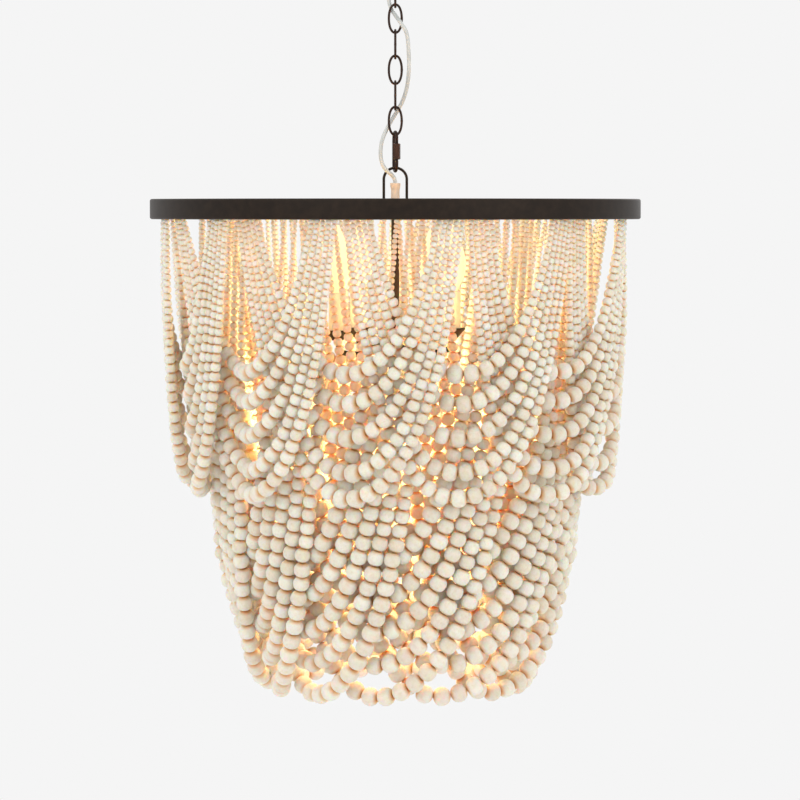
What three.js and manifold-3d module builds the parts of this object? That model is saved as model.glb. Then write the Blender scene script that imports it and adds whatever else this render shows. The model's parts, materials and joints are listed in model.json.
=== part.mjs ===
// Two-tier beaded chandelier on a chain. Millimetres, +Z up, front towards -Y.
// The origin is on the ceiling plane, on the axis that everything hangs on.
import * as THREE from 'three';
import { mergeVertices } from 'three/addons/utils/BufferGeometryUtils.js';
import Module from 'manifold-3d';

const wasm = await Module();
wasm.setup();

// Fits
const gap = 0.3; // between two pieces that touch
const overrun = 2; // how far a cutting solid runs past the face that it cuts
const bite = 0.6; // how far solids that are joined into one run into each other

// Ceiling set
const canopy = { radius: 63.5, height: 24, wall: 1.6, crown: 17, hole: 6.4 };
const strap = { wallSpace: 9.9, width: 20, thickness: 2.5, slotInset: 8, slotWidth: 5, slotLength: 9 };
const strapLength = 2 * (canopy.radius - canopy.wall - strap.wallSpace);
const nipple = { radius: 4.9, bore: 3.5 };
const nut = { acrossFlats: 16, height: 4 };
const collar = { radius: 13, height: 5 };
const loop = { wire: 4, outer: 28, baseRadius: 8, baseHeight: 11 };

// Chain and quick link
const chain = { links: 6, wire: 3, length: 38, width: 19 };
const quick = { wire: 4, length: 52.5, width: 22, turn: 12 };
const sleeve = { acrossFlats: 8, height: 20 };

// Frame that the beads hang from
const frame = { bailRise: 40.4, bailWidth: 32, bailWire: 3.4 };
const band = { radius: 305, thickness: 5, height: 25, corner: 2.6 };
// The two rings of flat rail inside the band, each a clear space inside what is outside it
const rail = { width: 16, thickness: 3, rise: 8, bandSpace: 6, tierSpace: 33 };
const upperRailRadius = band.radius - band.thickness - rail.bandSpace - rail.width / 2;
const lowerRailRadius = upperRailRadius - rail.width - rail.tierSpace;
const arms = { count: 4, width: 12, thickness: 5, hubRadius: 26 };
const tabWidth = 10;
const clip = { wall: 2, lip: 3.4 };
const grip = { radius: 5.5, height: 26, bore: 2.9, collarRadius: 7, collarHeight: 4 };

// Lamps
const stem = { radius: 5, bore: 3.5 };
const stemNut = { acrossFlats: 17, height: 5 };
const cluster = { drop: 196, radius: 19, height: 26, neckRadius: 8, neckHeight: 8 };
const finial = { radius: 8, height: 24, pin: 3 };
const finialShares = [[0.5, 1], [1, 0.6], [0.5, 0.25], [1, 0]]; // of its radius and height, from the tip
const lamp = { count: 4, reach: 85, firstAngle: -57, armRadius: 3.5, armSag: 9 };
const cup = { radius: 17, height: 12, wall: 1.6, footRadius: 7 };
const candle = { radius: 11, height: 56, footHeight: 6 };
const bulb = { radius: 17.5, length: 84, capRadius: 6, capLength: 22 };
// The glass, as shares of its radius and length, from the cap up
const glassShares = [[0.5, 0.06], [0.86, 0.22], [1, 0.38], [0.84, 0.6], [0.42, 0.84], [0.1, 0.98]];

// Bead strands. Five strands hang side by side as nested U shapes in each swag, shortest first.
const swagsPerTier = 12;
const strandSides = 4;
const upperTier = {
  name: 'upper_swag',
  railRadius: upperRailRadius,
  firstAngle: -13,
  halfSpans: [23.6, 24.9, 26.2, 27.6, 28.9],
  drops: [190, 225, 265.5, 307.5, 337.5],
  smallBead: 6.5,
  largeBead: 20,
  growthShare: 1.33,
  offsetAtRail: 4.5,
  offsetBelow: 12,
  offsetReach: 9,
  bodyShare: 0.68,
};
const lowerTier = {
  name: 'lower_swag',
  railRadius: lowerRailRadius,
  firstAngle: -9,
  halfSpans: [36, 39.5, 43, 46.5, 50],
  drops: [424.5, 465, 505.5, 546, 586],
  smallBead: 6,
  largeBead: 20,
  growthShare: 0.8,
  offsetAtRail: 4.5,
  offsetBelow: 22,
  offsetReach: 40,
  bodyShare: 0.56,
};
// Where a strand's bends are, as shares of the way along its thread from its lowest point
const bendShares = [0.05, 0.2, 0.48, 1];

// Supply cord. Its route is a list of points beside the chain, up from the top of the band.
const cord = { radius: 2.5, sides: 8, steps: 36 };
const cordAboveBand = [
  [0, 0, 20.2],
  [-0.8, -0.4, 24.5],
  [-4.2, -2.4, 29.6],
  [-9.5, -5.6, 34],
  [-14.6, -7.6, 40.5],
  [-17.6, -7.6, 49],
  [-18.2, -5, 61],
  [-16, -0.5, 74],
  [-10.5, 4.8, 87],
  [-4, 7.4, 99],
  [2.8, 8, 110],
  [8.8, 7.2, 121],
  [14, 4.5, 137],
  [16.8, 0.5, 158],
  [16.6, -3.5, 182],
  [13.8, -6.4, 206],
  [6.2, -6.8, 219],
  [0, 0, 228],
  [-5.5, 6.8, 237],
  [-8.5, 9, 251],
  [-6.2, 8, 267],
  [-2.4, 4, 279.5],
  [-0.3, 0.5, 289],
];

// Facets
const roundSides = 16;
const lampSides = 12;
const canopySides = 28;
const ringSides = 36;
const wireSides = 6;
const bendSteps = 4; // round each end of a link, an even number so that one point is its middle

// Places that follow from the sizes, measured down from the ceiling
const collarTop = -canopy.height - gap;
const loopBaseTop = collarTop - collar.height - gap;
const loopCentreZ = loopBaseTop - loop.baseHeight + loop.wire - loop.outer / 2;
const loopWireZ = loopCentreZ - (loop.outer - loop.wire) / 2;
const hangFrom = (wireZ, upperWire, lowerWire) => wireZ + (upperWire + lowerWire) / 2 + gap;
const linkTopZ = [hangFrom(loopWireZ, loop.wire, chain.wire) + chain.wire / 2];
const linkPitch = chain.length - 2 * chain.wire - gap;
for (let i = 1; i < chain.links; i++) linkTopZ.push(linkTopZ[i - 1] - linkPitch);
const lastLinkWireZ = linkTopZ[chain.links - 1] - chain.length + chain.wire / 2;
const quickTopZ = hangFrom(lastLinkWireZ, chain.wire, quick.wire) + quick.wire / 2;
const quickWireZ = quickTopZ - quick.length + quick.wire / 2;
const bailTopZ = hangFrom(quickWireZ, quick.wire, frame.bailWire) + frame.bailWire / 2;
const bandTopZ = bailTopZ - frame.bailRise;
const bandBottomZ = bandTopZ - band.height;
const railBottomZ = bandBottomZ + rail.rise;
const railTopZ = railBottomZ + rail.thickness;
const clipBottomZ = railBottomZ - gap - clip.wall;
const clipTopZ = railTopZ + gap + clip.wall;
const armBottomZ = clipTopZ + gap;
const armTopZ = armBottomZ + arms.thickness;
const clusterTopZ = bandTopZ - cluster.drop + cluster.height;

// Materials
const finish = {
  bronze: { color: 0x2b2018, metalness: 0.85, roughness: 0.42 },
  blackened: { color: 0x201a16, metalness: 0.8, roughness: 0.5 },
  chainBronze: { color: 0x4a3226, metalness: 0.85, roughness: 0.38 },
  beads: { color: 0xe6dccd, metalness: 0, roughness: 0.62 },
  cord: { color: 0xe4e0d6, metalness: 0, roughness: 0.3 },
  grip: { color: 0xe9cfae, metalness: 0, roughness: 0.4 },
  candle: { color: 0xf1e9d6, metalness: 0, roughness: 0.45 },
  lampGlass: { color: 0xffe2b0, metalness: 0, roughness: 0.15 },
  steel: { color: 0xa9a9a6, metalness: 0.9, roughness: 0.35 },
};

const radians = THREE.MathUtils.degToRad;
const chandelier = new THREE.Group();

// A closed mesh with its shared vertices merged and its faces turned outwards
function closed(geometry) {
  geometry.deleteAttribute('normal');
  geometry.deleteAttribute('uv');
  const merged = mergeVertices(geometry);
  const at = merged.getAttribute('position');
  const index = merged.getIndex().array;
  const [a, b, c] = [new THREE.Vector3(), new THREE.Vector3(), new THREE.Vector3()];
  const kept = [];
  let volume = 0;
  for (let i = 0; i < index.length; i += 3) {
    const [p, q, r] = index.subarray(i, i + 3);
    if (p === q || q === r || r === p) continue;
    kept.push(p, q, r);
    volume += a.fromBufferAttribute(at, p).dot(b.fromBufferAttribute(at, q).cross(c.fromBufferAttribute(at, r)));
  }
  if (volume < 0) kept.reverse();
  merged.setIndex(kept);
  return merged;
}

function toSolid(geometry) {
  const mesh = closed(geometry);
  return new wasm.Manifold(
    new wasm.Mesh({
      numProp: 3,
      vertProperties: new Float32Array(mesh.getAttribute('position').array),
      triVerts: new Uint32Array(mesh.getIndex().array),
    }),
  );
}

function toGeometry(solid) {
  const mesh = solid.getMesh();
  const geometry = new THREE.BufferGeometry();
  geometry.setAttribute('position', new THREE.BufferAttribute(new Float32Array(mesh.vertProperties), 3));
  geometry.setIndex(new THREE.BufferAttribute(new Uint32Array(mesh.triVerts), 1));
  return geometry;
}

function joined(geometries) {
  return toGeometry(geometries.map(toSolid).reduce((whole, next) => whole.add(next)));
}

function cutBy(geometry, tools) {
  return toGeometry(tools.map(toSolid).reduce((whole, next) => whole.subtract(next), toSolid(geometry)));
}

function addPiece(name, geometry, look, turn = 0) {
  const mesh = new THREE.Mesh(geometry, new THREE.MeshStandardMaterial(finish[look]));
  mesh.name = name;
  mesh.rotation.z = turn;
  chandelier.add(mesh);
}

// A solid turned about Z from an outline of [radius, z] points
function turned(outline, sides = roundSides) {
  const points = outline.map(([r, z]) => new THREE.Vector2(r, z));
  return closed(new THREE.LatheGeometry(points, sides).rotateX(Math.PI / 2));
}

// A ring turned about Z from a closed outline
function turnedRing(outline, sides = roundSides) {
  return turned([...outline, outline[0]], sides);
}

function tubeRing(outer, bore, bottom, top, sides = roundSides) {
  return turnedRing([[bore, bottom], [outer, bottom], [outer, top], [bore, top]], sides);
}

function cylinder(radius, bottom, top, sides = roundSides) {
  return turned([[0, bottom], [radius, bottom], [radius, top], [0, top]], sides);
}

function block(width, depth, bottom, top, x = 0, y = 0) {
  return new THREE.BoxGeometry(width, depth, top - bottom).translate(x, y, (top + bottom) / 2);
}

// A hexagonal prism, with a round bore where one is given
function hexagon(acrossFlats, bottom, top, bore) {
  const corner = acrossFlats / 2 / Math.cos(Math.PI / 6);
  const body = cylinder(corner, bottom, top, 6);
  return bore ? cutBy(body, [cylinder(bore, bottom - overrun, top + overrun)]) : body;
}

// The point at an angle round the axis, from the front towards +X
function around(radius, angle, z) {
  return new THREE.Vector3(radius * Math.sin(angle), -radius * Math.cos(angle), z);
}

// Triangles across a convex outline of so many points
function fan(sides) {
  return Array.from({ length: sides - 2 }, (_, i) => [0, i + 1, i + 2]);
}

// Joins rings of points, each with as many as the next, into a closed skin. Open ends get the caps.
function skin(rings, loops = false, caps = fan(rings[0].length)) {
  const sides = rings[0].length;
  const faces = [];
  const spans = loops ? rings.length : rings.length - 1;
  for (let i = 0; i < spans; i++) {
    const here = i * sides;
    const there = ((i + 1) % rings.length) * sides;
    for (let j = 0; j < sides; j++) {
      const k = (j + 1) % sides;
      faces.push(here + j, here + k, there + k, here + j, there + k, there + j);
    }
  }
  if (!loops) {
    const last = (rings.length - 1) * sides;
    for (const [p, q, r] of caps) {
      faces.push(r, q, p, last + p, last + q, last + r);
    }
  }
  const geometry = new THREE.BufferGeometry().setFromPoints(rings.flat());
  geometry.setIndex(faces);
  return closed(geometry);
}

// Rings of points round a line, each square to it. The first point of each faces its own outward direction.
function ringsAlong(centres, radii, outwards, sides, loops) {
  const count = centres.length;
  return centres.map((centre, i) => {
    const before = centres[loops ? (i + count - 1) % count : Math.max(i - 1, 0)];
    const after = centres[loops ? (i + 1) % count : Math.min(i + 1, count - 1)];
    const along = after.clone().sub(before).normalize();
    const across = outwards[i].clone().addScaledVector(along, -outwards[i].dot(along)).normalize();
    const third = along.clone().cross(across);
    return Array.from({ length: sides }, (_, j) => {
      const turn = (2 * Math.PI * j) / sides;
      const point = centre.clone().addScaledVector(across, radii[i] * Math.cos(turn));
      return point.addScaledVector(third, radii[i] * Math.sin(turn));
    });
  });
}

// An oval link standing in the XZ plane, hung with its top at topZ
function ovalLink(length, width, wire, topZ) {
  const radius = (width - wire) / 2;
  const centres = [];
  const outwards = [];
  for (const [middle, start] of [[topZ - width / 2, 0], [topZ - length + width / 2, Math.PI]]) {
    for (let i = 0; i <= bendSteps; i++) {
      const turn = start + (Math.PI * i) / bendSteps;
      const outward = new THREE.Vector3(Math.cos(turn), 0, Math.sin(turn));
      centres.push(outward.clone().multiplyScalar(radius).add(new THREE.Vector3(0, 0, middle)));
      outwards.push(outward);
    }
  }
  return skin(ringsAlong(centres, centres.map(() => wire / 2), outwards, wireSides, true), true);
}

// Canopy, strap, nipple, nut and collar
function addCeilingSet() {
  const { radius, height, wall, crown, hole } = canopy;
  const shoulder = radius - crown;
  const dome = (offset, steps = 3) =>
    Array.from({ length: steps + 1 }, (_, i) => {
      const turn = (Math.PI / 2) * (i / steps);
      const reach = crown - offset;
      return [shoulder + reach * Math.cos(turn), crown - height - reach * Math.sin(turn)];
    });
  const outside = [[radius, 0], ...dome(0), [hole, -height]];
  const inside = [[hole, wall - height], ...dome(wall).reverse(), [radius - wall, 0]];
  addPiece('ceiling_canopy', turnedRing([...outside, ...inside], canopySides), 'bronze');

  const slotX = strapLength / 2 - strap.slotInset;
  const slots = [-slotX, slotX].map((x) =>
    block(strap.slotLength, strap.slotWidth, -strap.thickness - overrun, overrun, x),
  );
  const nutBore = nipple.radius + gap;
  const nippleHole = cylinder(nutBore, -strap.thickness - overrun, overrun);
  const bar = block(strapLength, strap.width, -strap.thickness, 0);
  addPiece('mounting_strap', cutBy(bar, [...slots, nippleHole]), 'steel');

  const nutTop = -strap.thickness - gap;
  addPiece('lock_nut', hexagon(nut.acrossFlats, nutTop - nut.height, nutTop, nutBore), 'steel');
  addPiece('threaded_nipple', tubeRing(nipple.radius, nipple.bore, loopBaseTop + gap, 0), 'steel');
  addPiece(
    'canopy_collar',
    tubeRing(collar.radius, nutBore, collarTop - collar.height, collarTop),
    'bronze',
  );
}

// The closed ring under the canopy that the chain hangs from, with the cord's hole up through its base
function addCanopyLoop() {
  const { wire, outer, baseRadius, baseHeight } = loop;
  const ring = ovalLink(outer, outer, wire, loopCentreZ + outer / 2);
  const base = cylinder(baseRadius, loopBaseTop - baseHeight, loopBaseTop);
  const bore = cylinder(nipple.bore, loopCentreZ, loopBaseTop + overrun, lampSides);
  addPiece('canopy_loop', cutBy(joined([ring, base]), [bore]), 'chainBronze');
}

// The lowest link shows its face to the front, and the others alternate with it
function addChain() {
  linkTopZ.forEach((topZ, i) => {
    const faceOn = (chain.links - 1 - i) % 2 === 0;
    const link = ovalLink(chain.length, chain.width, chain.wire, topZ);
    addPiece(`chain_link_${i + 1}`, link, 'chainBronze', faceOn ? 0 : Math.PI / 2);
  });
}

// The quick link, edge on to the front but turned a little, with a threaded sleeve round one leg
function addQuickLink() {
  const turn = Math.PI / 2 + radians(quick.turn);
  const body = ovalLink(quick.length, quick.width, quick.wire, quickTopZ);
  addPiece('quick_link', body, 'chainBronze', turn);
  const legX = (quick.width - quick.wire) / 2;
  const middleZ = quickTopZ - quick.length / 2;
  const bottom = middleZ - sleeve.height / 2;
  const nutOnLeg = hexagon(sleeve.acrossFlats, bottom, bottom + sleeve.height, quick.wire / 2 + gap);
  addPiece('quick_link_sleeve', nutOnLeg.translate(-legX, 0, 0), 'chainBronze', turn);
}

// The U-shaped bail, its legs let down into the hub
function addBail() {
  const radius = (frame.bailWidth - frame.bailWire) / 2;
  const archZ = bailTopZ - frame.bailWidth / 2;
  const footZ = armBottomZ;
  const steps = 2 * bendSteps;
  const centres = [new THREE.Vector3(radius, 0, footZ)];
  const outwards = [new THREE.Vector3(1, 0, 0)];
  for (let i = 0; i <= steps; i++) {
    const turn = (Math.PI * i) / steps;
    outwards.push(new THREE.Vector3(Math.cos(turn), 0, Math.sin(turn)));
    centres.push(new THREE.Vector3(radius * Math.cos(turn), 0, archZ + radius * Math.sin(turn)));
  }
  centres.push(new THREE.Vector3(-radius, 0, footZ));
  outwards.push(new THREE.Vector3(-1, 0, 0));
  const radii = centres.map(() => frame.bailWire / 2);
  addPiece('frame_bail', skin(ringsAlong(centres, radii, outwards, wireSides, false)), 'bronze');
}

// Hub with four flat arms. The arms run over the rails to the band.
function addArms() {
  const reach = band.radius - band.thickness - gap;
  const inside = reach * Math.cos(Math.PI / ringSides);
  const start = radians(lowerTier.firstAngle);
  const bars = Array.from({ length: arms.count / 2 }, (_, i) => {
    const bar = block(2 * inside, arms.width, armBottomZ, armTopZ);
    return bar.rotateZ(start + (2 * Math.PI * i) / arms.count);
  });
  const hub = cylinder(arms.hubRadius, armBottomZ, armTopZ);
  const legHole = frame.bailWire / 2 + gap;
  const legX = (frame.bailWidth - frame.bailWire) / 2;
  const holes = [-legX, legX].map((x) =>
    cylinder(legHole, armBottomZ - overrun, armTopZ + overrun, wireSides).translate(x, 0, 0),
  );
  const bore = cylinder(stem.radius + gap, armBottomZ - overrun, armTopZ + overrun);
  addPiece('frame_arms', cutBy(joined([hub, ...bars]), [...holes, bore]), 'blackened');
}

// The band, the rail inside it and the tabs that carry the rail
function addOuterRing() {
  const { radius, thickness, corner } = band;
  const inner = radius - thickness;
  const bandRing = turnedRing(
    [
      [inner, bandBottomZ],
      [radius - corner, bandBottomZ],
      [radius, bandBottomZ + corner],
      [radius, bandTopZ - corner],
      [radius - corner, bandTopZ],
      [inner, bandTopZ],
    ],
    ringSides,
  );
  const railOuter = upperTier.railRadius + rail.width / 2;
  const railRing = tubeRing(railOuter, railOuter - rail.width, railBottomZ, railTopZ, ringSides);
  const bridge = inner - railOuter + 2 * overrun;
  const tabs = Array.from({ length: swagsPerTier }, (_, i) => {
    const angle = radians(upperTier.firstAngle) + (2 * Math.PI * (i + 0.5)) / swagsPerTier;
    const place = (inner + railOuter) / 2;
    return block(tabWidth, bridge, railBottomZ, railTopZ, 0, -place).rotateZ(angle);
  });
  const turn = radians(upperTier.firstAngle);
  const turnedBand = [bandRing, railRing].map((ring) => ring.rotateZ(turn));
  addPiece('outer_ring', joined([...turnedBand, ...tabs]), 'bronze');
}

// The second ring, for the lower tier, with a post up to each arm
function addInnerRing() {
  const outer = lowerTier.railRadius + rail.width / 2;
  const ring = tubeRing(outer, outer - rail.width, railBottomZ, railTopZ, ringSides);
  const posts = Array.from({ length: arms.count }, (_, i) => {
    const angle = (2 * Math.PI * i) / arms.count;
    const post = block(arms.width, rail.width / 2, railTopZ - bite, armBottomZ - gap, 0, -lowerTier.railRadius);
    return post.rotateZ(angle);
  });
  const turn = radians(lowerTier.firstAngle);
  addPiece('inner_ring', joined([ring, ...posts]), 'blackened', turn);
}

// The catenary that hangs to a given drop between two ends, by halving
function catenaryScale(halfWidth, drop) {
  let low = halfWidth / 100;
  let high = halfWidth * 100;
  for (let i = 0; i < 60; i++) {
    const middle = Math.sqrt(low * high);
    if (middle * Math.acosh(1 + drop / middle) < halfWidth) low = middle;
    else high = middle;
  }
  return low;
}

// One strand's centre line, from its left end to its right end, as places of [angle, radius, z].
// The sheet leans: its right end lies further out than its left end, so that neighbouring swags overlap.
function strandPlaces(tier, strand) {
  const halfSpan = radians(tier.halfSpans[strand]);
  const drop = tier.drops[strand];
  const chord = tier.railRadius * Math.cos(halfSpan);
  const halfWidth = tier.railRadius * Math.sin(halfSpan);
  const scale = catenaryScale(halfWidth, drop);
  const halfLength = scale * Math.sinh(halfWidth / scale);
  const shares = [...bendShares.map((share) => -share).reverse(), ...bendShares];
  return shares.map((share) => {
    const x = scale * Math.asinh((share * halfLength) / scale);
    const rise = (scale * (Math.cosh(x / scale) - 1)) / drop;
    const angle = Math.atan2(x, chord);
    const swing = Math.min(Math.max(angle / radians(tier.offsetReach), -1), 1);
    const lean = tier.offsetBelow + (tier.offsetAtRail - tier.offsetBelow) * rise ** 2;
    const radius = Math.hypot(x, chord) + lean * Math.sin((swing * Math.PI) / 2);
    return { angle, radius, z: clipBottomZ + bite - drop * (1 - rise), share: Math.abs(share) };
  });
}

function beadDiameter(tier, share) {
  return tier.smallBead + (tier.largeBead - tier.smallBead) * (1 - share) ** tier.growthShare;
}

function strandSolid(tier, strand) {
  const places = strandPlaces(tier, strand);
  const centres = places.map(({ angle, radius, z }) => around(radius, angle, z));
  const outwards = places.map(({ angle }) => around(1, angle, 0));
  const radii = places.map(({ share }) => (beadDiameter(tier, share) / 2) * tier.bodyShare);
  return skin(ringsAlong(centres, radii, outwards, strandSides, false));
}

// The rails are rings of flat facets. These are the angles of an arc's ends and of the facet edges between them.
function facetAngles(from, to) {
  const facet = (2 * Math.PI) / ringSides;
  const angles = [from];
  for (let edge = Math.floor(from / facet) + 1; edge * facet < to; edge++) angles.push(edge * facet);
  return [...angles, to];
}

// How far in a facet lies at an angle, as a share of the ring's radius
function facetShare(angle) {
  const half = Math.PI / ringSides;
  const middle = (Math.floor(angle / half / 2) + 0.5) * 2 * half;
  return Math.cos(half) / Math.cos(angle - middle);
}

// The C-shaped clip at one end of a swag, over the outer or inner edge of the rail.
// side is 1 at the right end, over the outer edge, and -1 at the left end, over the inner edge.
function clipSolid(tier, side) {
  const edge = tier.railRadius + (side * rail.width) / 2;
  const out = (distance) => edge + side * distance;
  const outline = [
    [out(gap + clip.wall), clipBottomZ],
    [out(gap + clip.wall), clipTopZ],
    [out(-clip.lip), clipTopZ],
    [out(-clip.lip), railTopZ + gap],
    [out(gap), railTopZ + gap],
    [out(gap), railBottomZ - gap],
    [tier.railRadius + side * gap, railBottomZ - gap],
    [tier.railRadius + side * gap, clipBottomZ],
  ];
  const margin = tier.smallBead / 2 / tier.railRadius;
  const ends = [tier.halfSpans[0], tier.halfSpans[tier.halfSpans.length - 1]].map(radians);
  const from = ends[0] - margin;
  const to = ends[1] + margin;
  const rings = facetAngles(from, to).map((angle) =>
    outline.map(([radius, z]) => around(radius * facetShare(angle), side * angle, z)),
  );
  const corners = outline.map(([radius, z]) => new THREE.Vector2(radius, z));
  const caps = THREE.ShapeUtils.triangulateShape(corners, []);
  return skin(rings, false, caps.map((cap) => [...cap].sort((p, q) => p - q)));
}

function addSwags(tier) {
  const strands = tier.drops.map((_, strand) => strandSolid(tier, strand));
  const swag = joined([...strands, clipSolid(tier, 1), clipSolid(tier, -1)]);
  for (let i = 0; i < swagsPerTier; i++) {
    const turn = radians(tier.firstAngle) + (2 * Math.PI * i) / swagsPerTier;
    addPiece(`${tier.name}_${i + 1}`, swag.clone(), 'beads', turn);
  }
}

// Pale grip over the stem's top end, which the cord goes down into
function addCordGrip() {
  const bottom = armTopZ + gap;
  const top = bottom + grip.height;
  addPiece(
    'cord_grip',
    turnedRing([
      [grip.bore, bottom],
      [grip.collarRadius, bottom],
      [grip.collarRadius, bottom + grip.collarHeight],
      [grip.radius, bottom + grip.collarHeight],
      [grip.radius, top],
      [grip.bore, top],
    ]),
    'grip',
  );
}

// Stem, its nut under the hub, the turned cluster body and the finial
function addStemAndCluster() {
  addPiece('stem_tube', tubeRing(stem.radius, stem.bore, clusterTopZ + gap, armTopZ), 'blackened');
  const nutTop = armBottomZ - gap;
  const nutBore = stem.radius + gap;
  addPiece('stem_nut', hexagon(stemNut.acrossFlats, nutTop - stemNut.height, nutTop, nutBore), 'steel');
  const bottom = clusterTopZ - cluster.height;
  const { radius, neckRadius, neckHeight } = cluster;
  const bore = finial.pin + gap;
  const waist = (radius + neckRadius) / 2;
  addPiece(
    'cluster_body',
    turnedRing([
      [bore, bottom],
      [neckRadius, bottom],
      [waist, bottom + neckHeight / 2],
      [radius, bottom + neckHeight],
      [radius, clusterTopZ - neckHeight],
      [waist, clusterTopZ - neckHeight / 2],
      [neckRadius, clusterTopZ],
      [bore, clusterTopZ],
    ]),
    'blackened',
  );
  const top = bottom - gap;
  const outside = finialShares.map(([r, z]) => [r * finial.radius, top - z * finial.height]);
  addPiece(
    'bottom_finial',
    turned([
      [0, top - finial.height],
      ...outside,
      [finial.pin, top],
      [finial.pin, top + cluster.height / 2],
      [0, top + cluster.height / 2],
    ]),
    'blackened',
  );
}

// An arm that leaves the cluster body, dips and rises under its cup
function lampArm() {
  const middleZ = clusterTopZ - cluster.height / 2;
  const start = cluster.radius * Math.cos(Math.PI / roundSides) + gap;
  const cupZ = middleZ + lamp.armSag;
  const line = new THREE.CatmullRomCurve3([
    new THREE.Vector3(0, -start, middleZ),
    new THREE.Vector3(0, -start - lamp.armSag, middleZ),
    new THREE.Vector3(0, -(start + lamp.reach) / 2, middleZ - lamp.armSag),
    new THREE.Vector3(0, -lamp.reach + lamp.armSag / 2, middleZ - lamp.armSag / 2),
    new THREE.Vector3(0, -lamp.reach, cupZ),
  ]);
  const section = new THREE.Shape().absarc(0, 0, lamp.armRadius, 0, 2 * Math.PI);
  const tube = new THREE.ExtrudeGeometry(section, {
    extrudePath: line,
    steps: bendSteps * 2,
    curveSegments: wireSides / 2,
    bevelEnabled: false,
  });
  const { radius, height, wall, footRadius } = cup;
  const dish = turned(
    [
      [0, cupZ - bite],
      [footRadius, cupZ - bite],
      [radius, cupZ + height],
      [radius - wall, cupZ + height],
      [footRadius - wall, cupZ + wall],
      [0, cupZ + wall],
    ],
    lampSides,
  ).translate(0, -lamp.reach, 0);
  return { solid: joined([tube, dish]), cupFloorZ: cupZ + wall };
}

// Four arms, each with a cup, a candle sleeve with the lamp holder in it, and a small-base lamp
function addLamps() {
  const { solid, cupFloorZ } = lampArm();
  const sleeveBottom = cupFloorZ + gap;
  const sleeveTop = sleeveBottom + candle.height;
  const bore = bulb.capRadius + gap;
  const sleeveSolid = turned(
    [
      [0, sleeveBottom],
      [cup.footRadius - cup.wall - gap, sleeveBottom],
      [candle.radius, sleeveBottom + candle.footHeight],
      [candle.radius, sleeveTop],
      [bore, sleeveTop],
      [bore, sleeveTop - bulb.capLength],
      [0, sleeveTop - bulb.capLength],
    ],
    lampSides,
  ).translate(0, -lamp.reach, 0);
  const glassBottom = sleeveTop + gap;
  const glass = glassShares.map(([r, z]) => [r * bulb.radius, glassBottom + z * bulb.length]);
  const bulbSolid = turned(
    [
      [0, glassBottom - bulb.capLength],
      [bulb.capRadius, glassBottom - bulb.capLength],
      [bulb.capRadius, glassBottom],
      ...glass,
      [0, glassBottom + bulb.length],
    ],
    lampSides,
  ).translate(0, -lamp.reach, 0);
  for (let i = 0; i < lamp.count; i++) {
    const turn = radians(lamp.firstAngle) + (2 * Math.PI * i) / lamp.count;
    addPiece(`lamp_arm_${i + 1}`, solid.clone(), 'blackened', turn);
    addPiece(`candle_sleeve_${i + 1}`, sleeveSolid.clone(), 'candle', turn);
    addPiece(`lamp_bulb_${i + 1}`, bulbSolid.clone(), 'lampGlass', turn);
  }
}

// The cord, from the grip up beside and through the chain, then straight up the hollow nipple
function addCord() {
  const points = cordAboveBand.map(([x, y, z]) => new THREE.Vector3(x, y, z + bandTopZ));
  const top = -strap.thickness;
  points.push(new THREE.Vector3(0, 0, loopBaseTop - loop.baseHeight / 2));
  points.push(new THREE.Vector3(0, 0, (loopBaseTop + top) / 2));
  points.push(new THREE.Vector3(0, 0, top));
  const section = new THREE.Shape().absarc(0, 0, cord.radius, 0, 2 * Math.PI);
  const tube = new THREE.ExtrudeGeometry(section, {
    extrudePath: new THREE.CatmullRomCurve3(points, false, 'centripetal'),
    steps: cord.steps,
    curveSegments: cord.sides / 2,
    bevelEnabled: false,
  });
  addPiece('supply_cord', closed(tube), 'cord');
}

addCeilingSet();
addCanopyLoop();
addChain();
addQuickLink();
addBail();
addCordGrip();
addArms();
addOuterRing();
addInnerRing();
addSwags(upperTier);
addSwags(lowerTier);
addStemAndCluster();
addLamps();
addCord();

export default chandelier;
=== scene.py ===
import json
import math

import bpy
import numpy as np
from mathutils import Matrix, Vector, kdtree

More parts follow.
